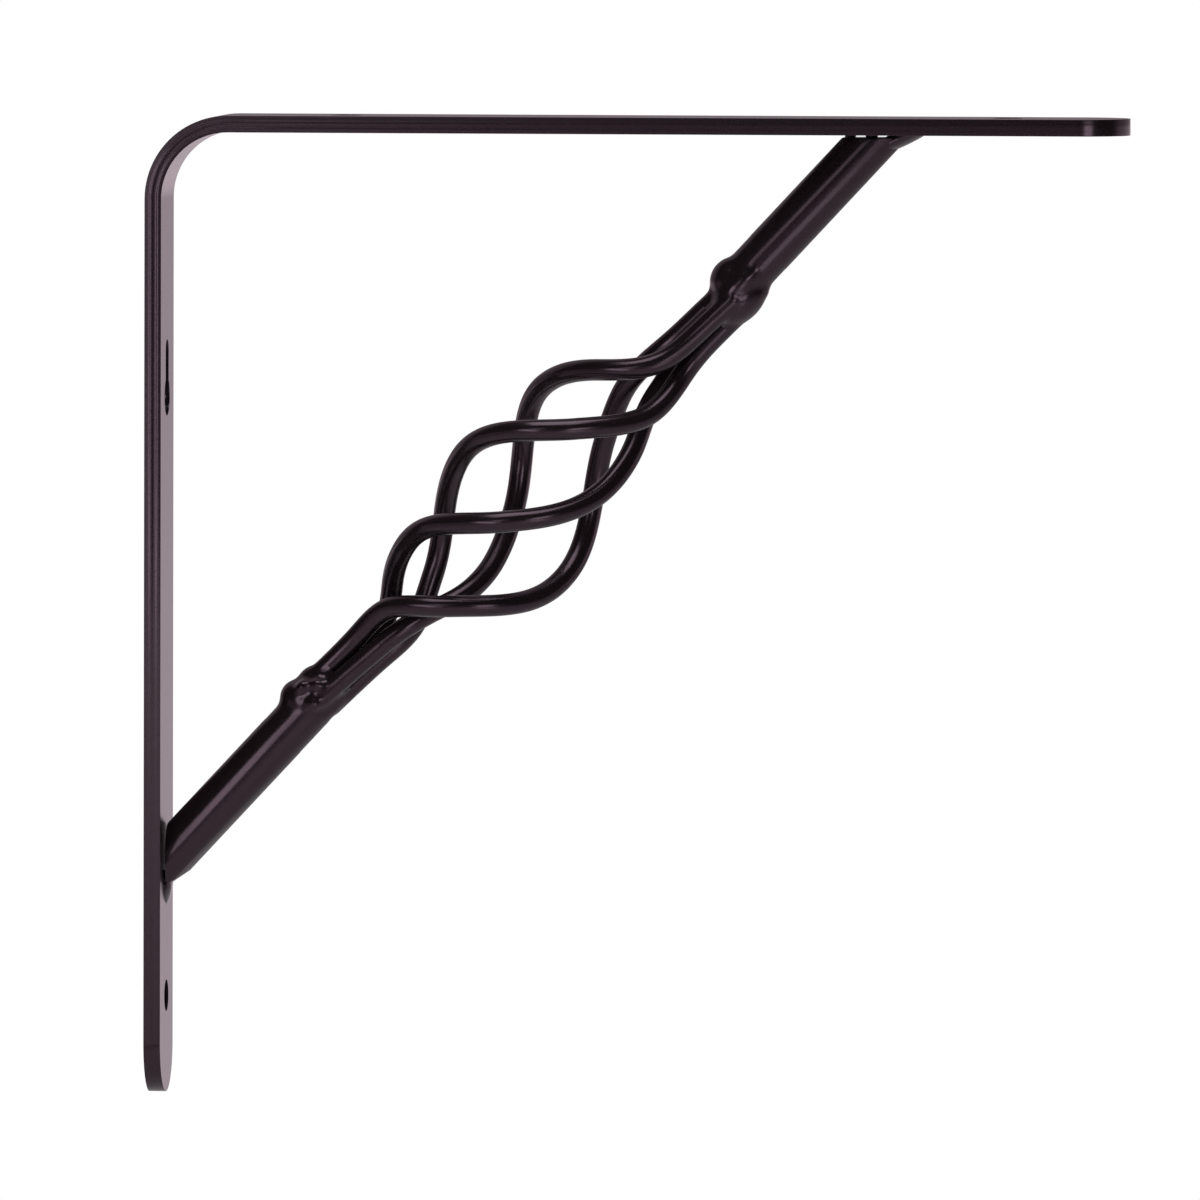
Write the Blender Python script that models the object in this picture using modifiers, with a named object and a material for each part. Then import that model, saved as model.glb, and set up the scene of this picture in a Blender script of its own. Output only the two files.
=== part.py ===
"""Decorative shelf bracket with a basket-twist brace, in metres, +Z up.

A flat steel bar, the strap, is bent once to a right angle. One arm is screwed to the wall and
the other carries the shelf. A brace is welded across the corner: a round bar, a basket of four
twisted wires, and a second round bar, joined by two knuckles of weld metal.

The origin is on the wall face of the wall arm, in the middle of its width and 100 mm below the
shelf. The wall arm's back lies on X = 0, the shelf arm runs out along +X, and the strap's width
is along Y. All of the brace's layout lies in the plane Y = 0.
"""
import math

import bmesh
import bpy
from mathutils import Matrix, Vector

# Room left between pieces that touch
GAP = 0.0003

# Edges sharper than this are shaded sharp, and corners sharper than the second are rounded
SHADING_ANGLE = math.radians(35)
CORNER_ANGLE = math.radians(50)

# Points closer than this are one point, and points this near to a cut lie on it
MERGE_DISTANCE = 1e-6
CUT_TOLERANCE = 1e-7
FLAT_ANGLE = math.radians(1)

# Strap
SHELF_ARM = 0.2000
WALL_ARM = 0.1985
SHELF_HEIGHT = 0.1000
STRAP_WIDTH = 0.0200
STRAP_THICKNESS = 0.0034
BEND_RADIUS = 0.0170
BEND_STEPS = 12
END_STEPS = 16
EDGE_ROUNDING = 0.0010
EDGE_ROUNDING_STEPS = 2

# Holes: drops are below the shelf face, reaches are from the wall face
SCREW_HOLE_RADIUS = 0.0032
KEYHOLE_RADIUS = 0.0040
KEYHOLE_SLOT_RADIUS = 0.0023
KEYHOLE_DROP = 0.0572
KEYHOLE_SLOT_DROP = 0.0480
LOWER_HOLE_DROP = 0.1790
SHELF_HOLE_REACHES = (0.0400, 0.1750)
HOLE_STEPS = 20

# Brace: reach from the wall face and drop below the shelf face of each knuckle's centre
LOWER_KNUCKLE = (0.03305, 0.11935)
UPPER_KNUCKLE = (0.1213, 0.03515)
BAR_RADIUS = 0.00495
BAR_STEPS = 32
BAR_SLOPE = math.radians(46.9)
LOWER_BAR_OFFSET = -0.0003
UPPER_BAR_OFFSET = 0.0017

# The uncut bar runs past the strap at one end and past its knuckle's flat end at the other
BAR_REACH = 0.0600
BAR_OVERRUN = 0.0050

# Knuckles, measured along the basket's axis from each knuckle's centre
LOWER_KNUCKLE_BACK = -0.0053
LOWER_KNUCKLE_FRONT = 0.0032
UPPER_KNUCKLE_BACK = -0.0050
UPPER_KNUCKLE_FRONT = 0.0045
KNUCKLE_RADIUS = 0.0058
KNUCKLE_HALF_LENGTH = 0.0090
LOWER_KNUCKLE_SHIFT = 0.0001
UPPER_KNUCKLE_SHIFT = 0.0014
LOWER_KNUCKLE_TILT = math.radians(4)
UPPER_KNUCKLE_TILT = math.radians(7)
KNUCKLE_STEPS = 28
LOBE_RADIUS = 0.00235
LOBE_INSET = 0.0010
LOBE_STEPS = 16

# Basket wires
WIRE_RADIUS = 0.0021
WIRE_POINTS = 46
WIRE_ROUNDNESS = 3
BUNDLE_RADIUS = 0.00335
BELLY_SKEW = 0.748
BELLY_SHARPNESS = 4.83
BASKET_SAG = 0.0016
PINCH = 0.174
PINCH_START = 0.72
PINCH_RUN = 0.16

# The turn that the basket has made at each share of its length, in degrees
TURN_PLACES = (0.0, 0.188, 0.251, 0.415, 0.69, 0.838, 1.0)
TURN_ANGLES = (102, 120, 185, 269, 359, 447, 452)
TURN_BLEND = 0.035
TURN_SAMPLES = 9

# Each wire is bent by hand: how far it spreads, how its belly is shifted, its lead in degrees, and
# the share at which it is pressed in and how deep
WIRES = (
    {"spread": 0.0179, "shift": -0.196, "lead": -2.2, "pressed_at": 0.24, "depth": 0.0013},
    {"spread": 0.0199, "shift": -0.160, "lead": 2.0, "pressed_at": 0.50, "depth": 0.0},
    {"spread": 0.0168, "shift": -0.062, "lead": -13.7, "pressed_at": 0.74, "depth": 0.0014},
    {"spread": 0.0162, "shift": -0.076, "lead": 10.4, "pressed_at": 0.50, "depth": 0.0},
)
PRESS_REACH = 0.05

# Foot welds: bead half sizes along, out from and across the joint
LOWER_WELD_SIZE = (0.0046, 0.0012, 0.0044)
UPPER_WELD_SIZE = (0.0078, 0.0017, 0.0044)
LOWER_WELD_SLOPE = math.radians(75)
UPPER_WELD_SLOPE = math.radians(26.5)
LOWER_WELD_PLACE = (-0.0002, 0.0013)
UPPER_WELD_PLACE = (-0.0015, -0.0002)
WELD_STEPS = 24

COAT_COLOUR = (0.016, 0.011, 0.014, 1.0)
COAT_ROUGHNESS = 0.34


def clear_scene():
    """Remove every object, so that the bracket is all there is."""
    for old in list(bpy.data.objects):
        bpy.data.objects.remove(old, do_unlink=True)


def new_collection(name):
    """Return a new collection linked to the scene."""
    collection = bpy.data.collections.new(name)
    bpy.context.scene.collection.children.link(collection)
    return collection


def powder_coat(piece_name):
    """Return the dark powder coat of one piece."""
    material = bpy.data.materials.new(f"{piece_name}_powder_coat")
    material.use_nodes = True
    shader = material.node_tree.nodes["Principled BSDF"]
    shader.inputs["Base Color"].default_value = COAT_COLOUR
    shader.inputs["Roughness"].default_value = COAT_ROUGHNESS
    shader.inputs["Metallic"].default_value = 0.0
    return material


def add_piece(name, mesh, collection):
    """Put a finished mesh in the collection as a named, coated, smooth-shaded piece."""
    mesh.materials.clear()
    mesh.materials.append(powder_coat(name))
    mesh.shade_smooth()
    mesh.set_sharp_from_angle(angle=SHADING_ANGLE)
    piece = bpy.data.objects.new(name, mesh)
    collection.objects.link(piece)
    return piece


def brace_point(reach, drop):
    """Return the point at a reach from the wall and a drop below the shelf face."""
    return Vector((reach, 0.0, SHELF_HEIGHT - drop))


BASKET_START = brace_point(*LOWER_KNUCKLE)
BASKET_END = brace_point(*UPPER_KNUCKLE)
BASKET_LENGTH = (BASKET_END - BASKET_START).length
BASKET_SLOPE = math.atan2(BASKET_END.z - BASKET_START.z, BASKET_END.x - BASKET_START.x)


def slope_frame(origin, slope):
    """Return a matrix with local Z up the slope, X out to the upper left and Y across to -Y."""
    along = Vector((math.cos(slope), 0.0, math.sin(slope)))
    out = Vector((-math.sin(slope), 0.0, math.cos(slope)))
    across = along.cross(out)
    frame = Matrix((out, across, along)).transposed().to_4x4()
    frame.translation = origin
    return frame


def cut_flat(shape, point, keep_side):
    """Cut a closed bmesh by a plane and close the cut, keeping the side that keep_side points to."""
    geometry = shape.verts[:] + shape.edges[:] + shape.faces[:]
    cut = bmesh.ops.bisect_plane(
        shape, geom=geometry, dist=CUT_TOLERANCE, plane_co=point, plane_no=keep_side, clear_inner=True
    )
    rim = [item for item in cut["geom_cut"] if isinstance(item, bmesh.types.BMEdge)]
    bmesh.ops.contextual_create(shape, geom=rim)


def mesh_from(shape, name):
    """Turn a bmesh into a mesh with its faces pointing out, and free it."""
    bmesh.ops.recalc_face_normals(shape, faces=shape.faces[:])
    if shape.calc_volume(signed=True) < 0:
        bmesh.ops.reverse_faces(shape, faces=shape.faces[:])
    mesh = bpy.data.meshes.new(name)
    shape.to_mesh(mesh)
    shape.free()
    return mesh


def circle_points(centre_x, centre_y, radius, steps, start=0.0, sweep=2 * math.pi, closed=True):
    """Return points along an arc, without the last one where the arc closes on itself."""
    count = steps if closed else steps + 1
    points = []
    for step in range(count):
        angle = start + sweep * step / steps
        points.append((centre_x + radius * math.cos(angle), centre_y + radius * math.sin(angle)))
    return points


# Run of each stretch of the strap, along its wall and shelf faces
WALL_RUN = WALL_ARM - BEND_RADIUS
BEND_RUN = (BEND_RADIUS - STRAP_THICKNESS / 2) * math.pi / 2
SHELF_RUN = SHELF_ARM - BEND_RADIUS


def wall_station(drop):
    """Return the place along the flat blank of a point at a drop on the wall arm."""
    return WALL_ARM - drop


def shelf_station(reach):
    """Return the place along the flat blank of a point at a reach on the shelf arm."""
    return WALL_RUN + BEND_RUN + reach - BEND_RADIUS


def blank_outlines():
    """Return the flat blank's outlines: the full-round bar first, then its holes."""
    half_width = STRAP_WIDTH / 2
    length = WALL_RUN + BEND_RUN + SHELF_RUN
    quarter = math.pi / 2
    bar = circle_points(half_width, 0, half_width, END_STEPS, quarter, math.pi, closed=False)
    bar += circle_points(length - half_width, 0, half_width, END_STEPS, -quarter, math.pi, closed=False)

    slot_end = wall_station(KEYHOLE_SLOT_DROP)
    round_centre = wall_station(KEYHOLE_DROP)
    mouth = math.asin(KEYHOLE_SLOT_RADIUS / KEYHOLE_RADIUS)
    keyhole = circle_points(
        round_centre, 0, KEYHOLE_RADIUS, HOLE_STEPS, mouth, 2 * (math.pi - mouth), closed=False
    )
    keyhole += circle_points(
        slot_end, 0, KEYHOLE_SLOT_RADIUS, HOLE_STEPS // 2, -quarter, math.pi, closed=False
    )

    outlines = [bar, keyhole]
    for station in [wall_station(LOWER_HOLE_DROP)] + [shelf_station(r) for r in SHELF_HOLE_REACHES]:
        outlines.append(circle_points(station, 0, SCREW_HOLE_RADIUS, HOLE_STEPS))
    return outlines


def bend_point(point):
    """Carry a point of the flat blank to its place on the bent strap."""
    station = point.x
    depth = point.z
    if station <= WALL_RUN:
        return Vector((depth, point.y, SHELF_HEIGHT - WALL_ARM + station))
    if station >= WALL_RUN + BEND_RUN:
        reach = BEND_RADIUS + station - WALL_RUN - BEND_RUN
        return Vector((reach, point.y, SHELF_HEIGHT - depth))
    angle = (station - WALL_RUN) / BEND_RUN * math.pi / 2
    radius = BEND_RADIUS - depth
    return Vector((
        BEND_RADIUS - radius * math.cos(angle),
        point.y,
        SHELF_HEIGHT - BEND_RADIUS + radius * math.sin(angle),
    ))


def make_strap(collection):
    """Punch the flat blank, bend it to a right angle and round its edges."""
    curve = bpy.data.curves.new("strap_blank", "CURVE")
    curve.dimensions = "2D"
    curve.fill_mode = "BOTH"
    curve.extrude = STRAP_THICKNESS / 2
    for outline in blank_outlines():
        spline = curve.splines.new("POLY")
        spline.points.add(len(outline) - 1)
        for place, (x, y) in zip(spline.points, outline):
            place.co = (x, y, 0.0, 1.0)
        spline.use_cyclic_u = True
    blank = bpy.data.objects.new("strap_blank", curve)
    collection.objects.link(blank)
    flat = bpy.data.meshes.new_from_object(blank.evaluated_get(bpy.context.evaluated_depsgraph_get()))
    bpy.data.objects.remove(blank, do_unlink=True)

    shape = bmesh.new()
    shape.from_mesh(flat)
    bmesh.ops.remove_doubles(shape, verts=shape.verts[:], dist=MERGE_DISTANCE)
    bmesh.ops.dissolve_limit(
        shape, angle_limit=FLAT_ANGLE, verts=shape.verts[:], edges=shape.edges[:]
    )
    for step in range(BEND_STEPS + 1):
        station = WALL_RUN + BEND_RUN * step / BEND_STEPS
        bmesh.ops.bisect_plane(
            shape,
            geom=shape.verts[:] + shape.edges[:] + shape.faces[:],
            dist=CUT_TOLERANCE,
            plane_co=(station, 0, 0),
            plane_no=(1, 0, 0),
        )
    for vert in shape.verts:
        vert.co.z += STRAP_THICKNESS / 2
        vert.co = bend_point(vert.co)
    strap = add_piece("strap", mesh_from(shape, "strap"), collection)
    bevel = strap.modifiers.new("rounded edges", "BEVEL")
    bevel.width = EDGE_ROUNDING
    bevel.segments = EDGE_ROUNDING_STEPS
    bevel.limit_method = "ANGLE"
    bevel.angle_limit = CORNER_ANGLE


def make_bar(name, knuckle, offset, start, end, cuts, collection):
    """Make one round bar of the brace.

    The bar runs from start to end along BAR_SLOPE, both measured from the knuckle's centre, and
    its axis passes that centre at the offset. Each cut is a point and the direction that is kept.
    """
    frame = slope_frame(knuckle, BAR_SLOPE) @ Matrix.Translation((offset, 0, (start + end) / 2))
    shape = bmesh.new()
    bmesh.ops.create_cone(
        shape, cap_ends=True, segments=BAR_STEPS, radius1=BAR_RADIUS, radius2=BAR_RADIUS,
        depth=end - start, matrix=frame,
    )
    for point, keep_side in cuts:
        cut_flat(shape, point, keep_side)
    add_piece(name, mesh_from(shape, name), collection)


def slope_direction(slope):
    """Return the unit vector that climbs away from the wall at a slope."""
    return Vector((math.cos(slope), 0.0, math.sin(slope)))


def slope_normal(slope):
    """Return the unit vector square to a slope, to its upper left."""
    return Vector((-math.sin(slope), 0.0, math.cos(slope)))


# Faces that the brace meets, with the room left to them
WALL_ARM_INSIDE = Vector((STRAP_THICKNESS + GAP, 0, 0))
SHELF_ARM_UNDERSIDE = Vector((0, 0, SHELF_HEIGHT - STRAP_THICKNESS - GAP))

# Where each bar's lower-right edge would meet the strap, and the trimmed corner there
BAR_EDGE_REACH = BAR_RADIUS / math.sin(BAR_SLOPE)
BAR_EDGE_DROP = BAR_RADIUS / math.cos(BAR_SLOPE)
LOWER_TRIM_SLOPE = math.radians(33)
LOWER_TRIM_PLACE = (0.0013, 0.0029)
UPPER_TRIM_SLOPE = math.radians(-65)
UPPER_TRIM_PLACE = (-0.0050, 0.0)


def bar_axis_point(knuckle, offset):
    """Return a point on a bar's axis."""
    return knuckle + slope_normal(BAR_SLOPE) * offset


def lower_corner():
    """Return where the lower bar's lower-right edge would meet the wall arm."""
    axis = bar_axis_point(BASKET_START, LOWER_BAR_OFFSET)
    drop = (axis.x - STRAP_THICKNESS) * math.tan(BAR_SLOPE)
    return Vector((STRAP_THICKNESS, 0, axis.z - drop - BAR_EDGE_DROP))


def upper_corner():
    """Return where the upper bar's lower-right edge would meet the shelf arm."""
    axis = bar_axis_point(BASKET_END, UPPER_BAR_OFFSET)
    underside = SHELF_HEIGHT - STRAP_THICKNESS
    reach = axis.x + (underside - axis.z) / math.tan(BAR_SLOPE)
    return Vector((reach + BAR_EDGE_REACH, 0, underside))


def beside(corner, place):
    """Return the point at a reach and a rise from a corner."""
    return corner + Vector((place[0], 0, place[1]))


LOWER_TRIM = beside(lower_corner(), LOWER_TRIM_PLACE)
UPPER_TRIM = beside(upper_corner(), UPPER_TRIM_PLACE)


def make_bars(collection):
    """Make both bars, cut to the strap and trimmed at the corner where each weld sits."""
    lower_cuts = [
        (WALL_ARM_INSIDE, Vector((1, 0, 0))),
        (LOWER_TRIM, slope_normal(LOWER_TRIM_SLOPE)),
        (BASKET_START + slope_direction(BASKET_SLOPE) * (LOWER_KNUCKLE_BACK - GAP),
         -slope_direction(BAR_SLOPE)),
    ]
    make_bar("lower_bar", BASKET_START, LOWER_BAR_OFFSET, -BAR_REACH, BAR_OVERRUN, lower_cuts, collection)
    upper_cuts = [
        (SHELF_ARM_UNDERSIDE, Vector((0, 0, -1))),
        (UPPER_TRIM, -slope_normal(UPPER_TRIM_SLOPE)),
        (BASKET_END + slope_direction(BASKET_SLOPE) * (UPPER_KNUCKLE_FRONT + GAP),
         slope_direction(BAR_SLOPE)),
    ]
    make_bar("upper_bar", BASKET_END, UPPER_BAR_OFFSET, -BAR_OVERRUN, BAR_REACH, upper_cuts, collection)


def wire_turn(share):
    """Return the basket's turn at a share of its length, blended over the quarter-turn places."""
    total = 0.0
    for sample in range(TURN_SAMPLES):
        place = share + TURN_BLEND * (2 * sample / (TURN_SAMPLES - 1) - 1)
        place = min(max(place, 0.0), 1.0)
        for step in range(len(TURN_PLACES) - 1):
            low, high = TURN_PLACES[step], TURN_PLACES[step + 1]
            if place <= high:
                part = (place - low) / (high - low)
                total += TURN_ANGLES[step] + part * (TURN_ANGLES[step + 1] - TURN_ANGLES[step])
                break
    return math.radians(total / TURN_SAMPLES)


def wire_point(index, share):
    """Return the centre of one wire at a share of the way from the lower to the upper knuckle."""
    wire = WIRES[index]
    swell = math.sin(math.pi * share)
    shifted = share + wire["shift"] * swell
    belly = math.sin(math.pi * shifted ** BELLY_SKEW) ** BELLY_SHARPNESS
    radius = BUNDLE_RADIUS + (wire["spread"] - BUNDLE_RADIUS) * belly
    angle = wire_turn(share) + index * math.pi / 2 + math.radians(wire["lead"]) * swell
    squeeze = min(max((share - PINCH_START) / PINCH_RUN, 0.0), 1.0)
    pinch = PINCH * squeeze * squeeze * (3 - 2 * squeeze)
    press = wire["depth"] * math.exp(-((share - wire["pressed_at"]) / PRESS_REACH) ** 2)
    out = radius * math.cos(angle) * (1 - pinch) - BASKET_SAG * swell ** 3 + press
    front = radius * math.sin(angle) * (1 + pinch)
    along = BASKET_LENGTH * share
    return slope_frame(BASKET_START, BASKET_SLOPE) @ Vector((out, front, along))


# Shares of the basket's length at which the wires leave the knuckles
WIRE_START = (LOWER_KNUCKLE_FRONT + GAP) / BASKET_LENGTH
WIRE_END = 1 + (UPPER_KNUCKLE_BACK - GAP) / BASKET_LENGTH


def make_wires(collection):
    """Make the four wires of the basket as round tubes."""
    for index in range(len(WIRES)):
        name = f"basket_wire_{index + 1}"
        curve = bpy.data.curves.new(name, "CURVE")
        curve.dimensions = "3D"
        curve.bevel_depth = WIRE_RADIUS
        curve.bevel_resolution = WIRE_ROUNDNESS
        curve.use_fill_caps = True
        spline = curve.splines.new("POLY")
        spline.points.add(WIRE_POINTS - 1)
        for step, place in enumerate(spline.points):
            share = WIRE_START + (WIRE_END - WIRE_START) * step / (WIRE_POINTS - 1)
            place.co = (*wire_point(index, share), 1.0)
        spline.use_smooth = True
        curve.materials.append(powder_coat(name))
        collection.objects.link(bpy.data.objects.new(name, curve))


def ellipsoid(frame, sizes, steps):
    """Return a bmesh ellipsoid with half sizes along the frame's X, Y and Z."""
    shape = bmesh.new()
    bmesh.ops.create_uvsphere(
        shape, u_segments=steps, v_segments=steps // 2, radius=1.0,
        matrix=frame @ Matrix.Diagonal((*sizes, 1.0)),
    )
    return shape


def make_knuckle(name, centre, shift, tilt, ends, end_slopes, lobe_share, pieces, guides):
    """Make one knuckle: a swollen collar with a lobe where each wire is welded in.

    The collar's axis is tilted from the basket's and passes at the shift from its centre line.
    ends are its two flat ends along the basket's axis, and end_slopes the slope that each is
    square to. lobe_share is the place along the basket where the lobes sit on the wires.
    """
    back, front = ends
    middle = centre + slope_direction(BASKET_SLOPE) * (back + front) / 2
    frame = slope_frame(middle, BASKET_SLOPE + tilt) @ Matrix.Translation((shift, 0, 0))
    body = ellipsoid(frame, (KNUCKLE_RADIUS, KNUCKLE_RADIUS, KNUCKLE_HALF_LENGTH), KNUCKLE_STEPS)
    knuckle = add_piece(name, mesh_from(body, name), pieces)
    for index in range(len(WIRES)):
        lobe_frame = slope_frame(wire_point(index, lobe_share), BASKET_SLOPE)
        lobe_name = f"{name}_lobe_{index + 1}"
        lobe_mesh = mesh_from(ellipsoid(lobe_frame, (LOBE_RADIUS,) * 3, LOBE_STEPS), lobe_name)
        lobe = bpy.data.objects.new(lobe_name, lobe_mesh)
        lobe.hide_render = True
        lobe.display_type = "WIRE"
        guides.objects.link(lobe)
        union = knuckle.modifiers.new(f"lobe {index + 1}", "BOOLEAN")
        union.operation = "UNION"
        union.object = lobe
    joined = bpy.data.meshes.new_from_object(
        knuckle.evaluated_get(bpy.context.evaluated_depsgraph_get())
    )
    bpy.data.objects.remove(knuckle, do_unlink=True)
    shape = bmesh.new()
    shape.from_mesh(joined)
    axis = slope_direction(BASKET_SLOPE)
    cut_flat(shape, centre + axis * back, slope_direction(end_slopes[0]))
    cut_flat(shape, centre + axis * front, -slope_direction(end_slopes[1]))
    add_piece(name, mesh_from(shape, name), pieces)


def make_knuckles(pieces, guides):
    """Make the knuckle at each end of the basket."""
    make_knuckle(
        "lower_knuckle", BASKET_START, LOWER_KNUCKLE_SHIFT, LOWER_KNUCKLE_TILT,
        (LOWER_KNUCKLE_BACK, LOWER_KNUCKLE_FRONT), (BAR_SLOPE, BASKET_SLOPE),
        (LOWER_KNUCKLE_FRONT - LOBE_INSET) / BASKET_LENGTH, pieces, guides,
    )
    make_knuckle(
        "upper_knuckle", BASKET_END, UPPER_KNUCKLE_SHIFT, UPPER_KNUCKLE_TILT,
        (UPPER_KNUCKLE_BACK, UPPER_KNUCKLE_FRONT), (BASKET_SLOPE, BAR_SLOPE),
        1 + (UPPER_KNUCKLE_BACK + LOBE_INSET) / BASKET_LENGTH, pieces, guides,
    )


def make_weld(name, centre, slope, sizes, cuts, collection):
    """Make one fillet weld: a long bead, cut flat against the strap and the bar's trimmed corner."""
    along, out, across = sizes
    bead = ellipsoid(slope_frame(centre, slope), (out, across, along), WELD_STEPS)
    for point, keep_side in cuts:
        cut_flat(bead, point, keep_side)
    add_piece(name, mesh_from(bead, name), collection)


def make_welds(collection):
    """Make the fillet weld at each foot of the brace."""
    trim_normal = slope_normal(LOWER_TRIM_SLOPE)
    make_weld(
        "lower_foot_weld", beside(lower_corner(), LOWER_WELD_PLACE), LOWER_WELD_SLOPE,
        LOWER_WELD_SIZE,
        [(WALL_ARM_INSIDE, Vector((1, 0, 0))), (LOWER_TRIM - trim_normal * GAP, -trim_normal)],
        collection,
    )
    trim_normal = slope_normal(UPPER_TRIM_SLOPE)
    make_weld(
        "upper_foot_weld", beside(upper_corner(), UPPER_WELD_PLACE), UPPER_WELD_SLOPE,
        UPPER_WELD_SIZE,
        [(SHELF_ARM_UNDERSIDE, Vector((0, 0, -1))), (UPPER_TRIM + trim_normal * GAP, trim_normal)],
        collection,
    )


def main():
    """Build the bracket."""
    clear_scene()
    pieces = new_collection("shelf_bracket")
    guides = new_collection("guides")
    make_strap(pieces)
    make_bars(pieces)
    make_wires(pieces)
    make_knuckles(pieces, guides)
    make_welds(pieces)


main()
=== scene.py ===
"""Looks of a decorative shelf bracket with a basket-twist brace.

A flat steel strap, bent once to a right angle, carries a welded brace across its corner: a round
bar, a basket of four twisted wires and a second round bar. Everything wears one dark powder coat.
Places are in the frame of the solids: the wall face is X = 0 and the brace lies in Y = 0.
"""
from __future__ import annotations

import logging
import math
from dataclasses import dataclass, field
from enum import Enum
from typing import Callable

import bpy
from mathutils import Euler, Matrix, Vector

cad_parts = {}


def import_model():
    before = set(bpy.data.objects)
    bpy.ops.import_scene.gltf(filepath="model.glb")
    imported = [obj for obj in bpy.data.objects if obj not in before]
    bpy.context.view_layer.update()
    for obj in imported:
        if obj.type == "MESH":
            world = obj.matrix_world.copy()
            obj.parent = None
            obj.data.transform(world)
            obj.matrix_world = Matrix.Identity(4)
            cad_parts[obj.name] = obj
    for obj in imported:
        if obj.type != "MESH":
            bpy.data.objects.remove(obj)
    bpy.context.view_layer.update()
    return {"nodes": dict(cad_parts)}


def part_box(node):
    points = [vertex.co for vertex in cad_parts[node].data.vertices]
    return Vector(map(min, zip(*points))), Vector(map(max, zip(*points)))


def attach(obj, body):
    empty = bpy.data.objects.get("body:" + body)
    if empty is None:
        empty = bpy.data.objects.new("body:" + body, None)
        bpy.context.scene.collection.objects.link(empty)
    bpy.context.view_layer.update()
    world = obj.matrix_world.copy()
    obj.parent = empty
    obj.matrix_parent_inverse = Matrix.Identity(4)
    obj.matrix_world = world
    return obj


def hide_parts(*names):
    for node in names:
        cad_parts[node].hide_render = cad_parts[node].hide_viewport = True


LOG = logging.getLogger("shelf_bracket")
MM = 0.001
BODY = "root"
STRAP_THICKNESS = 3.4 * MM
WIRE_COUNT = 4
# How far the bars' cut ends stay off the strap, with weld metal in between
WALL_GAP = 0.3 * MM
SHELF_GAP = 0.6 * MM
# How long a bar is drawn before it is cut to the strap
BAR_DRAWN = 0.060
# How finely tubes and weld lumps are divided
TUBE_STEPS = 12
LUMP_STEPS = 40
# How near points have to be to count as one, in a tube and on a cut
SAME_POINT = 1e-6
ON_CUT = 1e-7
# How near a point has to be to a face to count as lying on it
TOUCH = 0.01 * MM
# Attributes of the strap's points, both from 0 to 1
DEPTH = "depth_through_strap"
RUN = "run_along_strap"
# Two rolled profiles from the strap's outer face to its inner one, and their strength along the
# strap from the wall arm's foot to the shelf arm's tip, as pairs of place and share of the height
CROWN_HEIGHT = 0.09 * MM
CROWN = ((0, 0.1), (0.2, 0.6), (0.4, 0.95), (0.5, 1.0), (0.8, 0.85), (1, 0.6))
CROWN_STRENGTH = ((0, 0), (0.42, 0), (0.55, 1), (1, 1))
RIDGE_HEIGHT = 0.11 * MM
RIDGES = (
    (0, 0.1), (0.1, 0.1), (0.24, 0.1), (0.38, 0.6), (0.43, 0.6), (0.58, 0.2), (0.65, 0.2),
    (0.8, 0.85), (0.85, 0.85), (1, 0.2),
)
RIDGE_STRENGTH = (
    (0, 0.05), (0.2, 0.05), (0.3, 0.6), (0.4, 1.0), (0.5, 1.0), (0.58, 0.3), (1, 0.1),
)


class View(Enum):
    """Which part of a mesh is picked in edit mode."""

    POINTS = "VERT"
    EDGES = "EDGE"
    FACES = "FACE"


def srgb(code: str) -> tuple[float, float, float, float]:
    """Turn an sRGB hex code into a linear colour.

    Args:
        code: six hex digits after a hash mark.

    Returns:
        The linear red, green and blue, and an alpha of one.
    """
    parts = [int(code[i:i + 2], 16) / 255 for i in (1, 3, 5)]
    linear = [p / 12.92 if p <= 0.04045 else ((p + 0.055) / 1.055) ** 2.4 for p in parts]
    return (*linear, 1.0)


def deselect() -> None:
    """Leave nothing selected."""
    bpy.ops.object.select_all(action="DESELECT")


def pick(*pieces: bpy.types.Object) -> None:
    """Select only these pieces and make the first one active.

    Args:
        pieces: the pieces to select.
    """
    deselect()
    for piece in pieces:
        piece.select_set(True)
    bpy.context.view_layer.objects.active = pieces[0]


def settle() -> bpy.types.Object:
    """Move the active object's place, turn and scale into its mesh.

    Returns:
        The active object.
    """
    bpy.ops.object.transform_apply(location=True, rotation=True, scale=True)
    return bpy.context.object


def edit(piece: bpy.types.Object, view: View, test: Callable[[Vector], bool]) -> None:
    """Enter edit mode with the points, edges or faces selected whose centres pass a test.

    Args:
        piece: the piece to edit.
        view: what is selected.
        test: tells whether a centre is wanted.
    """
    pick(piece)
    bpy.ops.object.mode_set(mode="EDIT")
    bpy.ops.mesh.select_mode(type=view.value)
    bpy.ops.mesh.select_all(action="DESELECT")
    bpy.ops.object.mode_set(mode="OBJECT")
    points = piece.data.vertices
    if view is View.POINTS:
        for point in points:
            point.select = test(point.co)
    elif view is View.EDGES:
        for edge in piece.data.edges:
            ends = [points[i].co for i in edge.vertices]
            edge.select = test((ends[0] + ends[1]) / 2)
    else:
        for face in piece.data.polygons:
            face.select = test(face.center)
    bpy.ops.object.mode_set(mode="EDIT")


def leave_edit() -> None:
    """Return to object mode."""
    bpy.ops.object.mode_set(mode="OBJECT")


def finish_with(piece: bpy.types.Object, kind: str, **settings: object) -> None:
    """Add one modifier and apply it.

    Args:
        piece: the piece to change.
        kind: the modifier's type.
        settings: the modifier's values.
    """
    pick(piece)
    modifier = piece.modifiers.new(kind.lower(), kind)
    for name, value in settings.items():
        setattr(modifier, name, value)
    bpy.ops.object.modifier_apply(modifier=modifier.name)


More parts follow.
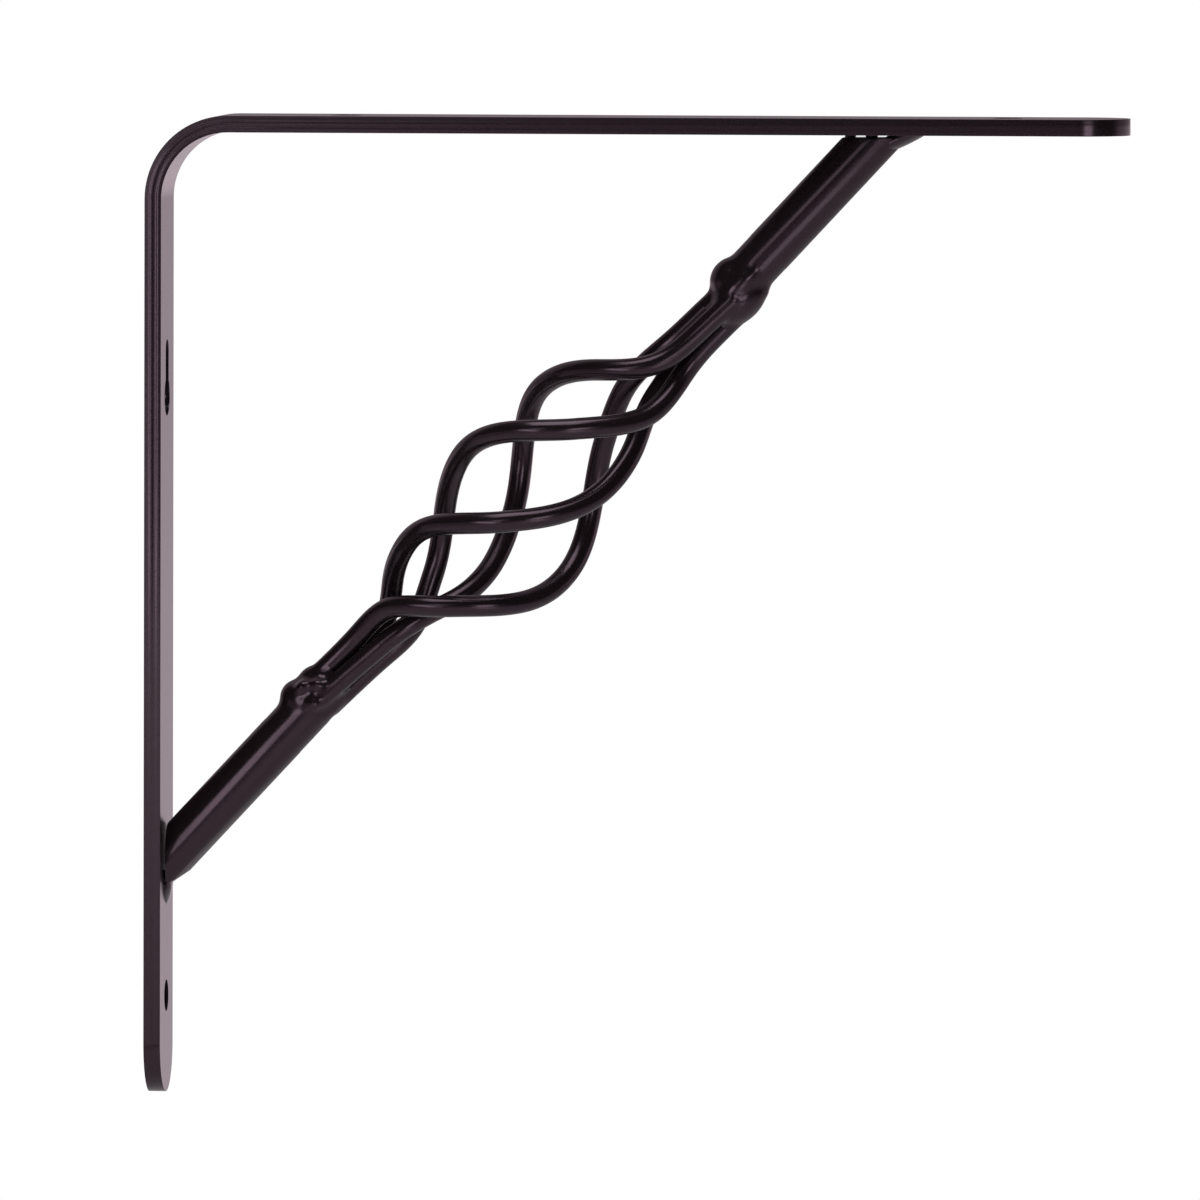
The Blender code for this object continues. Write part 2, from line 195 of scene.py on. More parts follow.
def slice_off(piece: bpy.types.Object, point: Vector, kept: Vector) -> None:
    """Cut a piece flat, close the cut and keep one side.

    Args:
        piece: the piece to cut.
        point: a point on the cut.
        kept: the direction of the side that stays.
    """
    edit(piece, View.FACES, lambda centre: True)
    bpy.ops.mesh.bisect(
        plane_co=point, plane_no=kept, use_fill=True, clear_inner=True, threshold=ON_CUT
    )
    leave_edit()


def smooth(piece: bpy.types.Object, degrees: float = 40) -> None:
    """Shade a piece smooth, apart from edges sharper than an angle.

    Args:
        piece: the piece to shade.
        degrees: the angle from which an edge stays sharp.
    """
    pick(piece)
    bpy.ops.object.shade_smooth_by_angle(angle=math.radians(degrees))


def along(slope: float) -> Vector:
    """Return the unit vector that climbs away from the wall at a slope."""
    return Vector((math.cos(slope), 0, math.sin(slope)))


def above(slope: float) -> Vector:
    """Return the unit vector square to a slope, to its upper left."""
    return Vector((-math.sin(slope), 0, math.cos(slope)))


def lying(slope: float) -> Euler:
    """Return the turn that lays a Z axis along a slope, with X to its upper left."""
    rows = Matrix((above(slope), along(slope).cross(above(slope)), along(slope)))
    return rows.transposed().to_euler()


@dataclass(frozen=True)
class Brace:
    """Where the brace lies, and how its wires run between the two knuckles.

    The bars are offset from the knuckles' centres, square to their own slope. Each wire has its own
    spread from the basket's axis, its own shift of the belly along it, its own lead in degrees past
    an even quarter turn, and one spot where it is pushed to the upper left. The turn of the whole
    basket is given in degrees at shares of its length. The sag lowers its middle, the skew moves the
    bellies towards the lower knuckle, the sharpness narrows them, and the pinch flattens the basket
    ahead of the upper knuckle.
    """

    lower: Vector = field(default_factory=lambda: Vector((33.05, 0, -19.35)) * MM)
    upper: Vector = field(default_factory=lambda: Vector((121.3, 0, 64.85)) * MM)
    bar_slope: float = math.radians(46.9)
    bar_radius: float = 4.95 * MM
    lower_bar_offset: float = -0.3 * MM
    upper_bar_offset: float = 1.7 * MM
    wire_radius: float = 2.21 * MM
    bundle_radius: float = 3.16 * MM
    spreads: tuple[float, ...] = (17.9 * MM, 19.9 * MM, 16.8 * MM, 16.2 * MM)
    shifts: tuple[float, ...] = (-0.196, -0.16, -0.062, -0.076)
    leads: tuple[float, ...] = (-2.2, 2, -13.7, 10.4)
    turn_places: tuple[float, ...] = (0, 0.188, 0.251, 0.415, 0.69, 0.838, 1)
    turn_angles: tuple[float, ...] = (102, 120, 185, 269, 359, 447, 452)
    turn_blend: float = 0.035
    turn_samples: int = 4
    sag: float = 1.6 * MM
    pressed_at: tuple[float, ...] = (0.24, 0.5, 0.74, 0.5)
    press_depths: tuple[float, ...] = (1.3 * MM, 0, 1.4 * MM, 0)
    press_reach: float = 0.05
    skew: float = 0.748
    sharpness: float = 4.83
    pinch: float = 0.174
    pinch_start: float = 0.72
    pinch_run: float = 0.16

    @property
    def slope(self) -> float:
        """The slope of the basket's axis."""
        run = self.upper - self.lower
        return math.atan2(run.z, run.x)

    @property
    def length(self) -> float:
        """The distance between the knuckles."""
        return (self.upper - self.lower).length

    def turn(self, share: float) -> float:
        """Give the basket's turn at a share of its length.

        Args:
            share: nought at the lower knuckle and one at the upper.

        Returns:
            The turn in radians, blended over the places where the wires were bent.
        """
        total = 0.0
        samples = range(-self.turn_samples, self.turn_samples + 1)
        steps = range(len(self.turn_places) - 1)
        for sample in samples:
            place = min(max(share + self.turn_blend * sample / self.turn_samples, 0), 1)
            step = max(i for i in steps if i == 0 or self.turn_places[i] <= place)
            low, high = self.turn_places[step:step + 2]
            first, last = self.turn_angles[step:step + 2]
            total += first + (place - low) / (high - low) * (last - first)
        return math.radians(total / len(samples))

    def wire_point(self, index: int, share: float) -> Vector:
        """Give the centre of one wire.

        Args:
            index: which of the four wires.
            share: how far it is from the lower to the upper knuckle.

        Returns:
            The point in the bracket's frame.
        """
        swell = math.sin(math.pi * min(max(share, 0), 1))
        belly = math.sin(math.pi * max(share + self.shifts[index] * swell, 0) ** self.skew)
        spread = self.spreads[index] - self.bundle_radius
        radius = self.bundle_radius + spread * max(belly, 0) ** self.sharpness
        angle = self.turn(share) + index * math.pi / 2
        angle += math.radians(self.leads[index]) * swell
        ease = min(max((share - self.pinch_start) / self.pinch_run, 0), 1)
        pinch = self.pinch * ease * ease * (3 - 2 * ease)
        press = math.exp(-((share - self.pressed_at[index]) / self.press_reach) ** 2)
        out = radius * math.cos(angle) * (1 - pinch) - self.sag * swell ** 3
        out += self.press_depths[index] * press
        front = radius * math.sin(angle) * (1 + pinch)
        place = self.lower + along(self.slope) * self.length * share + above(self.slope) * out
        return place + Vector((0, -front, 0))


BRACE = Brace()


@dataclass(frozen=True)
class Feet:
    """Where the bars of the brace meet the strap."""

    wall_face: float
    shelf_under: float
    lower_corner: Vector
    upper_corner: Vector
    head: Vector

    @classmethod
    def find(cls) -> Feet:
        """Work out where the bars' axes and outer lines meet the strap.

        Returns:
            The strap's inner faces, the lowest corners of both bars and the upper bar's head.
        """
        wall_face = STRAP_THICKNESS
        shelf_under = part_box("strap")[1].z - STRAP_THICKNESS
        up, way = above(BRACE.bar_slope), along(BRACE.bar_slope)
        lower_axis = BRACE.lower + up * BRACE.lower_bar_offset
        upper_axis = BRACE.upper + up * BRACE.upper_bar_offset
        foot = lower_axis - way * (lower_axis.x - wall_face) / math.cos(BRACE.bar_slope)
        lower_corner = foot - Vector((0, 0, BRACE.bar_radius / math.cos(BRACE.bar_slope)))
        head = upper_axis + way * (shelf_under - upper_axis.z) / math.sin(BRACE.bar_slope)
        upper_corner = head + Vector((BRACE.bar_radius / math.sin(BRACE.bar_slope), 0, 0))
        return cls(wall_face, shelf_under, lower_corner, upper_corner, head)


def add_tube(name: str, points: list[Vector], radius: float) -> bpy.types.Object:
    """Draw a round tube through points.

    Args:
        name: the tube's name.
        points: the points of its centre line.
        radius: its radius.

    Returns:
        The tube as a mesh with closed ends.
    """
    deselect()
    bpy.ops.curve.primitive_nurbs_path_add()
    tube = bpy.context.object
    tube.name = name
    curve = tube.data
    curve.splines.clear()
    spline = curve.splines.new("POLY")
    spline.points.add(len(points) - 1)
    for place, point in zip(spline.points, points):
        place.co = (*point, 1)
    curve.bevel_depth = radius
    curve.bevel_resolution = TUBE_STEPS
    curve.use_fill_caps = True
    bpy.ops.object.convert(target="MESH")
    edit(tube, View.POINTS, lambda centre: True)
    bpy.ops.mesh.remove_doubles(threshold=SAME_POINT)
    leave_edit()
    return tube


def add_lump(centre: Vector, slope: float, sizes: tuple[float, float, float]) -> bpy.types.Object:
    """Add one rounded lump of weld metal.

    Args:
        centre: its middle.
        slope: the slope that it lies along.
        sizes: its half sizes out from the slope, across it and along it.

    Returns:
        The lump.
    """
    deselect()
    bpy.ops.mesh.primitive_uv_sphere_add(
        segments=LUMP_STEPS, ring_count=LUMP_STEPS // 2, radius=1, location=centre,
        rotation=lying(slope), scale=sizes,
    )
    return settle()


def melt(
    name: str, lumps: list[bpy.types.Object], grain: float, fillet: float, passes: int
) -> bpy.types.Object:
    """Run several lumps together into one smooth piece, as weld metal does.

    Args:
        name: the piece's name.
        lumps: the shapes that it is made from.
        grain: the size of the cells in which they run together.
        fillet: the radius that fills the hollows between them.
        passes: how often the result is smoothed.

    Returns:
        The piece.
    """
    pick(*lumps)
    bpy.ops.object.join()
    piece = bpy.context.object
    piece.name = name
    finish_with(piece, "REMESH", mode="VOXEL", voxel_size=grain, use_smooth_shade=True)
    finish_with(piece, "DISPLACE", strength=fillet, mid_level=0)
    finish_with(piece, "REMESH", mode="VOXEL", voxel_size=grain, use_smooth_shade=True)
    finish_with(piece, "SMOOTH", factor=0.5, iterations=passes)
    finish_with(piece, "DISPLACE", strength=-fillet, mid_level=0)
    finish_with(piece, "REMESH", mode="VOXEL", voxel_size=grain, use_smooth_shade=True)
    finish_with(piece, "SMOOTH", factor=0.5, iterations=passes)
    return piece


@dataclass(frozen=True)
class PowderCoat:
    """Polyester powder coat in a brown black: a stoved plastic skin over steel.

    It gives the eye a near-black with a satin gloss, a faint orange peel and a few nibs of dust.
    """

    name: str
    colour: str = "#1b1417"
    tint: str = "#ffdbf1"
    roughness: float = 0.2
    peel_size: float = 2.5 * MM
    peel_height: float = 0.004 * MM
    nib_size: float = 0.5 * MM
    nib_height: float = 0.006 * MM
    nib_from: float = 0.76
    nib_to: float = 0.84
    ridged: bool = False

    def build(self) -> bpy.types.Material:
        """Make the material.

        Returns:
            The material with its nodes.
        """
        coat = bpy.data.materials.new(self.name)
        coat.use_nodes = True
        tree = coat.node_tree
        shader = tree.nodes["Principled BSDF"]
        shader.inputs["Base Color"].default_value = srgb(self.colour)
        shader.inputs["Specular Tint"].default_value = srgb(self.tint)
        shader.inputs["Roughness"].default_value = self.roughness
        place = add_node(tree, "ShaderNodeTexCoord").outputs["Object"]
        peel = add_node(
            tree, "ShaderNodeTexNoise", {"Scale": 1 / self.peel_size, "Detail": 0.0},
            {"Vector": place},
        )
        bump = add_node(
            tree, "ShaderNodeBump", {"Distance": self.peel_height}, {"Height": peel.outputs["Fac"]}
        )
        grit = add_node(
            tree, "ShaderNodeTexNoise", {"Scale": 1 / self.nib_size, "Detail": 0.0},
            {"Vector": place},
        )
        nib = add_node(
            tree, "ShaderNodeMapRange", {"From Min": self.nib_from, "From Max": self.nib_to},
            {"Value": grit.outputs["Fac"]},
        )
        bump = add_node(
            tree, "ShaderNodeBump", {"Distance": self.nib_height},
            {"Height": nib.outputs["Result"], "Normal": bump.outputs["Normal"]},
        )
        if self.ridged:
            bump = self.add_ridges(tree, bump)
        tree.links.new(bump.outputs["Normal"], shader.inputs["Normal"])
        return coat

    @staticmethod
    def add_ridges(tree: bpy.types.NodeTree, under: bpy.types.Node) -> bpy.types.Node:
        """Add the lengthwise ridges that the rolls left on the bar's narrow faces.

        Args:
            tree: the material's node tree.
            under: the bump node beneath.

        Returns:
            The bump node that adds the ridges.
        """
        depth = add_node(tree, "ShaderNodeAttribute", attribute_name=DEPTH).outputs["Fac"]
        run = add_node(tree, "ShaderNodeAttribute", attribute_name=RUN).outputs["Fac"]
        bump = under
        for profile, strength, height in (
            (CROWN, CROWN_STRENGTH, CROWN_HEIGHT), (RIDGES, RIDGE_STRENGTH, RIDGE_HEIGHT),
        ):
            shape = add_node(tree, "ShaderNodeFloatCurve", {}, {"Value": depth})
            set_curve(shape, profile)
            fade = add_node(tree, "ShaderNodeFloatCurve", {}, {"Value": run})
            set_curve(fade, strength)
            faded = add_node(
                tree, "ShaderNodeMath", {},
                {0: shape.outputs["Value"], 1: fade.outputs["Value"]}, operation="MULTIPLY",
            )
            bump = add_node(
                tree, "ShaderNodeBump", {"Distance": height},
                {"Height": faded.outputs["Value"], "Normal": bump.outputs["Normal"]},
            )
        return bump


def set_curve(node: bpy.types.Node, points: tuple[tuple[float, float], ...]) -> None:
    """Give a curve node its points.

    Args:
        node: the curve node.
        points: pairs of input and output.
    """
    curve = node.mapping.curves[0]
    while len(curve.points) < len(points):
        curve.points.new(0.5, 0.5)
    for point, place in zip(curve.points, points):
        point.location = place
    node.mapping.update()


def add_node(
    tree: bpy.types.NodeTree, kind: str, values: dict | None = None, links: dict | None = None,
    **settings: object,
) -> bpy.types.Node:
    """Add one node with its settings, values and links.

    Args:
        tree: the node tree.
        kind: the node's type.
        values: input values by socket name or number.
        links: output sockets by the input that they feed.
        settings: the node's own properties.

    Returns:
        The node.
    """
    node = tree.nodes.new(kind)
    for name, value in settings.items():
        setattr(node, name, value)
    for socket, value in (values or {}).items():
        node.inputs[socket].default_value = value
    for socket, source in (links or {}).items():
        tree.links.new(source, node.inputs[socket])
    return node


@dataclass
class Strap:
    """The flat bar, bent once to a right angle, with its screw holes."""

    coat: bpy.types.Material
    bend_radius: float = 17.0 * MM
    bend_steps: int = 24
    thickness: float = STRAP_THICKNESS
    end_steps: int = 20
    edge_rounding: float = 1.0 * MM
    edge_steps: int = 5
    edge_angle: float = math.radians(50)
    hole_steps: int = 48
    screw_hole_radius: float = 3.2 * MM
    keyhole_radius: float = 4.0 * MM
    slot_radius: float = 2.3 * MM
    keyhole_drop: float = 57.2 * MM
    slot_drop: float = 48.0 * MM
    lower_hole_drop: float = 179.0 * MM
    shelf_hole_reaches: tuple[float, ...] = (40.0 * MM, 175.0 * MM)

    def build(self) -> bpy.types.Object:
        """Bend, round, drill and coat the strap.

        Returns:
            The strap.
        """
        low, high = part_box("strap")
        self.top = high.z
        strap = self.bend_bar(low, high)
        self.round_ends(strap, low, high)
        self.drill(strap)
        finish_with(
            strap, "BEVEL", width=self.edge_rounding, segments=self.edge_steps,
            limit_method="ANGLE", angle_limit=self.edge_angle, harden_normals=False,
        )
        smooth(strap)
        finish_with(strap, "WEIGHTED_NORMAL", keep_sharp=True)
        self.measure(strap, low, high)
        strap.data.materials.append(self.coat)
        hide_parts("strap")
        return strap

    def measure(self, strap: bpy.types.Object, low: Vector, high: Vector) -> None:
        """Note on each point how deep and how far along the strap it lies, both from 0 to 1.

        Args:
            strap: the finished strap.
            low: its lowest corner.
            high: its highest corner.
        """
        depth = strap.data.attributes.new(DEPTH, "FLOAT", "POINT")
        run = strap.data.attributes.new(RUN, "FLOAT", "POINT")
        bend = Vector((self.bend_radius, 0, high.z - self.bend_radius))
        arc = self.bend_radius * math.pi / 2
        wall = bend.z - low.z
        whole = wall + arc + high.x - bend.x
        for point in strap.data.vertices:
            x, _, z = point.co - bend
            if z < 0:
                deep, far = point.co.x, wall + z
            elif x > 0:
                deep, far = high.z - point.co.z, wall + arc + x
            else:
                deep = self.bend_radius - math.hypot(x, z)
                far = wall + self.bend_radius * math.atan2(z, -x)
            depth.data[point.index].value = deep / self.thickness
            run.data[point.index].value = far / whole

    def bend_bar(self, low: Vector, high: Vector) -> bpy.types.Object:
        """Draw the wall arm up, turn it through the bend and run the shelf arm out.

        Args:
            low: the lowest corner of the strap.
            high: its highest corner.

        Returns:
            The bent bar with square ends.
        """
        straight = high.z - self.bend_radius - low.z
        deselect()
        bpy.ops.mesh.primitive_cube_add(
            size=1,
            location=(self.thickness / 2, 0, low.z + straight / 2),
            scale=(self.thickness, high.y - low.y, straight),
        )
        strap = settle()
        strap.name = "bent_strap"
        bend_start = low.z + straight
        edit(strap, View.FACES, lambda centre: centre.z > bend_start - MM)
        bpy.ops.mesh.spin(
            steps=self.bend_steps, angle=-math.pi / 2,
            center=(self.bend_radius, 0, bend_start), axis=(0, 1, 0),
        )
        reach = high.x - self.bend_radius
        bpy.ops.mesh.extrude_region_move(TRANSFORM_OT_translate={"value": (reach, 0, 0)})
        bpy.ops.mesh.select_all(action="SELECT")
        bpy.ops.mesh.normals_make_consistent(inside=False)
        leave_edit()
        return strap

    def round_ends(self, strap: bpy.types.Object, low: Vector, high: Vector) -> None:
        """Round both ends over the strap's full width.

        Args:
            strap: the bent bar.
            low: the lowest corner of the strap.
            high: its highest corner.
        """
        half = (high.y - low.y) / 2
        edit(
            strap, View.EDGES,
            lambda centre: abs(abs(centre.y) - half) < TOUCH
            and (centre.z < low.z + TOUCH or centre.x > high.x - TOUCH),
        )
        bpy.ops.mesh.bevel(
            offset=half - TOUCH, segments=self.end_steps, affect="EDGES", profile=0.5
        )
        bpy.ops.mesh.select_all(action="SELECT")
        bpy.ops.mesh.remove_doubles(threshold=3 * TOUCH)
        leave_edit()

    def drill(self, strap: bpy.types.Object) -> None:
        """Cut the screw holes and the keyhole.

        Args:
            strap: the bar to drill.
        """
        across_wall = Euler((0, math.pi / 2, 0))
        plumb = Euler((0, 0, 0))
        middle = self.thickness / 2
        holes = [
            (Vector((middle, 0, self.top - drop)), across_wall, radius)
            for drop, radius in (
                (self.lower_hole_drop, self.screw_hole_radius),
                (self.keyhole_drop, self.keyhole_radius),
                (self.slot_drop, self.slot_radius),
            )
        ]
        for reach in self.shelf_hole_reaches:
            holes.append((Vector((reach, 0, self.top - middle)), plumb, self.screw_hole_radius))
        for place, turn, radius in holes:
            deselect()
            bpy.ops.mesh.primitive_cylinder_add(
                vertices=self.hole_steps, radius=radius, depth=4 * self.thickness,
                location=place, rotation=turn,
            )
            self.cut(strap, settle())
        deselect()
        height = self.keyhole_drop - self.slot_drop
        bpy.ops.mesh.primitive_cube_add(
            size=1,
            location=(middle, 0, self.top - self.slot_drop - height / 2),
            scale=(4 * self.thickness, 2 * self.slot_radius, height),
        )
        self.cut(strap, settle())

    @staticmethod
    def cut(strap: bpy.types.Object, cutter: bpy.types.Object) -> None:
        """Cut one shape out of the strap and remove the shape."""
        finish_with(strap, "BOOLEAN", operation="DIFFERENCE", object=cutter)
        bpy.data.objects.remove(cutter, do_unlink=True)


@dataclass
class Bar:
    """One round bar of the brace, cut to the strap.

    It is drawn from start to end along its slope, measured from its knuckle. The value away is 1
    where it climbs away from the knuckle and -1 where it falls away. Each cut is a point and the
    direction of the side that stays.
    """

    name: str
    coat: bpy.types.Material
    knuckle: Vector
    offset: float
    start: float
    end: float
    away: float
    cuts: tuple[tuple[Vector, Vector], ...]
    steps_round: int = 96
    rim: float = 0.35 * MM
    rim_steps: int = 4
    rim_angle: float = math.radians(40)
    seam: float = 9.0 * MM

    def build(self) -> bpy.types.Object:
        """Cut and coat the bar.

        Returns:
            The bar.
        """
        middle = self.knuckle + above(BRACE.bar_slope) * self.offset
        middle += along(BRACE.bar_slope) * (self.start + self.end) / 2
        deselect()
        bpy.ops.mesh.primitive_cylinder_add(
            vertices=self.steps_round, radius=BRACE.bar_radius, depth=self.end - self.start,
            location=middle, rotation=lying(BRACE.bar_slope),
        )
        bar = settle()
        bar.name = f"coated_{self.name}"
        for point, kept in self.cuts:
            slice_off(bar, point, kept)
        finish_with(
            bar, "BEVEL", width=self.rim, segments=self.rim_steps, limit_method="ANGLE",
            angle_limit=self.rim_angle,
        )
        way = along(BRACE.bar_slope) * self.away
        slice_off(bar, self.knuckle + way * self.seam, way)
        smooth(bar)
        bar.data.materials.append(self.coat)
        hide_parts(self.name)
        return bar


@dataclass
class BasketWire:
    """One of the four wires of the basket."""

    index: int
    coat: bpy.types.Material
    points: int = 220
    first_share: float = 0.035
    share_run: float = 0.93
    seam: float = 8.0 * MM
    soft_angle: float = 60

    def build(self) -> bpy.types.Object:
        """Bend and coat the wire.

        Returns:
            The wire.
        """
        name = f"basket_wire_{self.index + 1}"
        places = []
        for step in range(self.points):
            share = self.first_share + self.share_run * step / (self.points - 1)
            places.append(BRACE.wire_point(self.index, share))
        wire = add_tube(f"coated_{name}", places, BRACE.wire_radius)
        way = along(BRACE.slope)
        slice_off(wire, BRACE.lower + way * self.seam, way)
        slice_off(wire, BRACE.upper - way * self.seam, -way)
        smooth(wire, self.soft_angle)
        wire.data.materials.append(self.coat)
        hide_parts(name)
        return wire


@dataclass(frozen=True)
class Bead:
    """One rounded bead of weld metal on a knuckle, in millimetres from the knuckle's centre."""

    out: float
    front: float
    forward: float
    sizes: tuple[float, float, float]

    def add(self, centre: Vector) -> bpy.types.Object:
        """Add the bead.

        Args:
            centre: the knuckle's centre.

        Returns:
            The bead.
        """
        place = centre + above(BRACE.slope) * self.out * MM
        place += along(BRACE.slope) * self.forward * MM
        place -= Vector((0, self.front, 0)) * MM
        return add_lump(place, BRACE.slope, tuple(size * MM for size in self.sizes))


@dataclass
class Knuckle:
    """The swelling of weld metal that joins a bar to the four wires.

    The value towards_bar is 1 where the bar climbs away from it and -1 where it falls away.
    """

    name: str
    coat: bpy.types.Material
    centre: Vector
    towards_bar: float
    bar_offset: float
    beads: tuple[Bead, ...]
    wire_start: float = 2.0 * MM
    wire_reach: float = 11.0 * MM
    wire_steps: int = 14
    swell: float = 1.02
    bar_reach: float = 11.0 * MM
    bar_seam: float = 9.0 * MM
    wire_seam: float = 8.0 * MM
    grain: float = 0.2 * MM
    fillet: float = 1.4 * MM
    passes: int = 30
    soft_angle: float = 80

    def build(self) -> bpy.types.Object:
        """Run the bar's end, the wires' ends and the weld beads together.

        Returns:
            The knuckle.
        """
        lumps = [self.bar_end(), *self.wire_ends(), *(bead.add(self.centre) for bead in self.beads)]
        knuckle = melt(f"coated_{self.name}", lumps, self.grain, self.fillet, self.passes)
        bar_way = along(BRACE.bar_slope) * self.towards_bar
        wire_way = along(BRACE.slope) * -self.towards_bar
        slice_off(knuckle, self.centre + bar_way * self.bar_seam, -bar_way)
        slice_off(knuckle, self.centre + wire_way * self.wire_seam, -wire_way)
        smooth(knuckle, self.soft_angle)
        knuckle.data.materials.append(self.coat)
        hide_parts(self.name)
        return knuckle

    def bar_end(self) -> bpy.types.Object:
        """Return the stub of the bar that runs into the knuckle."""
        start = self.centre + above(BRACE.bar_slope) * self.bar_offset
        reach = along(BRACE.bar_slope) * self.towards_bar * self.bar_reach
        return add_tube("bar_end", [start, start + reach / 2, start + reach], BRACE.bar_radius)

    def wire_ends(self) -> list[bpy.types.Object]:
        """Draw the stubs of the four wires that run into the knuckle.

        Returns:
            The stubs.
        """
        run = self.wire_reach - self.wire_start
        reaches = [
            self.wire_start + run * step / self.wire_steps for step in range(self.wire_steps + 1)
        ]
        shares = [reach / BRACE.length for reach in reaches]
        if self.towards_bar > 0:
            shares = [1 - share for share in shares]
        ends = []
        for index in range(WIRE_COUNT):
            points = [BRACE.wire_point(index, share) for share in shares]
            ends.append(add_tube("wire_end", points, BRACE.wire_radius * self.swell))
        return ends


@dataclass(frozen=True)
class FilletBead:
    """One rounded bead of a foot weld, with its slope in degrees and half sizes in millimetres."""

    centre: Vector
    slope: float
    sizes: tuple[float, float, float]

    def add(self) -> bpy.types.Object:
        """Return the bead as a lump in its place."""
        return add_lump(
            self.centre, math.radians(self.slope), tuple(size * MM for size in self.sizes)
        )


@dataclass
class FootWeld:
    """The fillet of weld metal between a bar and the strap."""

    name: str
    coat: bpy.types.Material
    beads: tuple[FilletBead, ...]
    face: Vector
    kept: Vector
    grain: float = 0.15 * MM
    fillet: float = 0.3 * MM
    passes: int = 6
    soft_angle: float = 50

    def build(self) -> bpy.types.Object:
        """Run the beads together and coat them.

        Returns:
            The weld.
        """
        lumps = [bead.add() for bead in self.beads]
        weld = melt(f"coated_{self.name}", lumps, self.grain, self.fillet, self.passes)
        slice_off(weld, self.face, self.kept)
        smooth(weld, self.soft_angle)
        weld.data.materials.append(self.coat)
        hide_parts(self.name)
        return weld


@dataclass(frozen=True)
class Room:
    """How bright the room round the bracket looks in reflections.

    Towards the front the ground is dim and the ceiling almost black. Towards the back both are
    lighter. The camera itself sees plain white, as in the photograph.
    """

    front_ground: float = 0.34
    back_ground: float = 0.95
    front_ceiling: float = 0.02
    back_ceiling: float = 0.33
    back_range: tuple[float, float] = (-0.1, 0.3)
    horizon_range: tuple[float, float] = (-0.08, 0.03)
    horizon_slant: float = 0.12
    tint: str = "#ffebf5"

    def build(self) -> None:
        """Make the world that surrounds the bracket."""
        world = bpy.data.worlds.new("studio")
        bpy.context.scene.world = world
        world.use_nodes = True
        tree = world.node_tree
        tree.nodes.clear()
        direction = add_node(tree, "ShaderNodeTexCoord").outputs["Generated"]
        axes = add_node(tree, "ShaderNodeSeparateXYZ", {}, {"Vector": direction})
        back = self.ramp(tree, axes.outputs["Y"], self.back_range)
        slant = self.blend(tree, back, self.horizon_slant, 0.0)
        height = add_node(
            tree, "ShaderNodeMath", {}, {0: axes.outputs["X"], 1: slant, 2: axes.outputs["Z"]},
            operation="MULTIPLY_ADD",
        ).outputs["Value"]
        rise = self.ramp(tree, height, self.horizon_range)
        ground = self.blend(tree, back, self.front_ground, self.back_ground)
        ceiling = self.blend(tree, back, self.front_ceiling, self.back_ceiling)
        room = self.blend(tree, rise, ground, ceiling)
        seen = add_node(tree, "ShaderNodeLightPath").outputs["Is Camera Ray"]
        bright = self.blend(tree, seen, room, 1.0)
        colour = add_node(
            tree, "ShaderNodeMix", {"A": srgb(self.tint), "B": srgb("#ffffff")}, {"Factor": seen},
            data_type="RGBA",
        )
        glow = add_node(
            tree, "ShaderNodeBackground", {},
            {"Color": colour.outputs["Result"], "Strength": bright},
        )
        add_node(tree, "ShaderNodeOutputWorld", {}, {"Surface": glow.outputs["Background"]})

    @staticmethod
    def ramp(
        tree: bpy.types.NodeTree, value: bpy.types.NodeSocket, span: tuple[float, float]
    ) -> bpy.types.NodeSocket:
        """Turn a value into a share that climbs softly from 0 to 1 over a span.

        Args:
            tree: the node tree.
            value: the value's socket.
            span: where the share leaves 0 and where it reaches 1.

        Returns:
            The share's socket.
        """
        return add_node(
            tree, "ShaderNodeMapRange", {"From Min": span[0], "From Max": span[1]},
            {"Value": value}, interpolation_type="SMOOTHSTEP",
        ).outputs["Result"]

    @staticmethod
    def blend(
        tree: bpy.types.NodeTree, share: bpy.types.NodeSocket,
        first: bpy.types.NodeSocket | float, second: bpy.types.NodeSocket | float,
    ) -> bpy.types.NodeSocket:
        """Blend two levels.

        Args:
            tree: the node tree.
            share: the socket with the share of the second level.
            first: the first level, a number or a socket.
            second: the second level, a number or a socket.

        Returns:
            The blended level's socket.
        """
        levels = {"A": first, "B": second}
        values = {name: level for name, level in levels.items() if isinstance(level, float)}
        links = {name: level for name, level in levels.items() if name not in values}
        return add_node(
            tree, "ShaderNodeMix", values, {"Factor": share, **links}, data_type="FLOAT"
        ).outputs["Result"]


